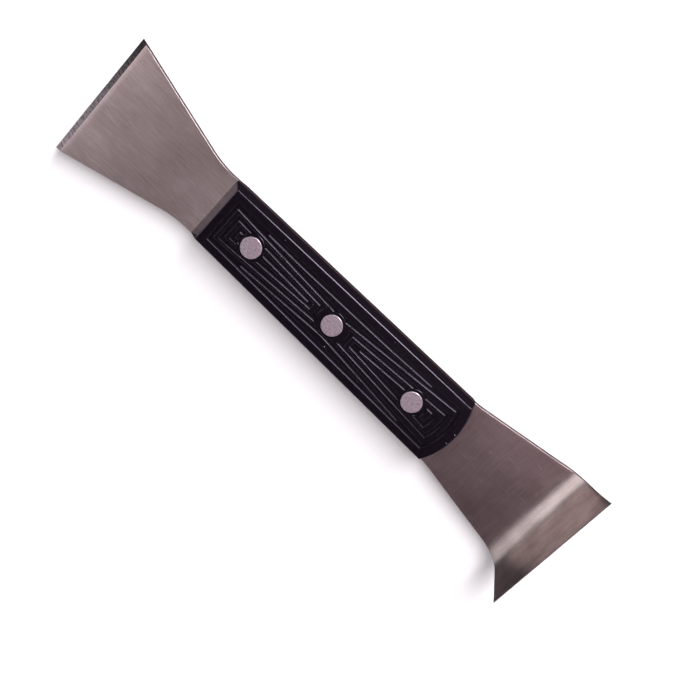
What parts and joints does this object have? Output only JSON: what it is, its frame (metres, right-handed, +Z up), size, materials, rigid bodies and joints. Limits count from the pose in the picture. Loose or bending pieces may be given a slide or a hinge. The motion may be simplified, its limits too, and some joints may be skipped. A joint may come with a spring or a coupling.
{
  "type": "hive tool",
  "caption": "Double-ended beekeeper's hive tool: flat steel blade with a flared straight scraper and a bent-up hook, gripped by riveted moulded plastic scales.",
  "frame": {"origin": "middle of the overall length and width, in the plane that the back scale's rim rests on", "axes": "+X along the blade towards the hook, +Y across the blade, +Z up out of the front scale, the way the hook bends"},
  "size_m": [0.2094, 0.0516, 0.0265],
  "materials": {
    "blade_steel": "ground and brushed stainless, grain along the blade, satin",
    "grip_plastic": "moulded black plastic, fine satin texture",
    "rivet_steel": "dull fine-turned steel heads with bright rims"
  },
  "bodies": {
    "root": {"blade": "blade_steel", "front_scale": "grip_plastic", "back_scale": "grip_plastic", "rivet_stud_scraper_end": "rivet_steel", "rivet_stud_middle": "rivet_steel", "rivet_stud_hook_end": "rivet_steel", "rivet_socket_scraper_end": "rivet_steel", "rivet_socket_middle": "rivet_steel", "rivet_socket_hook_end": "rivet_steel"}
  },
  "joints": []
}
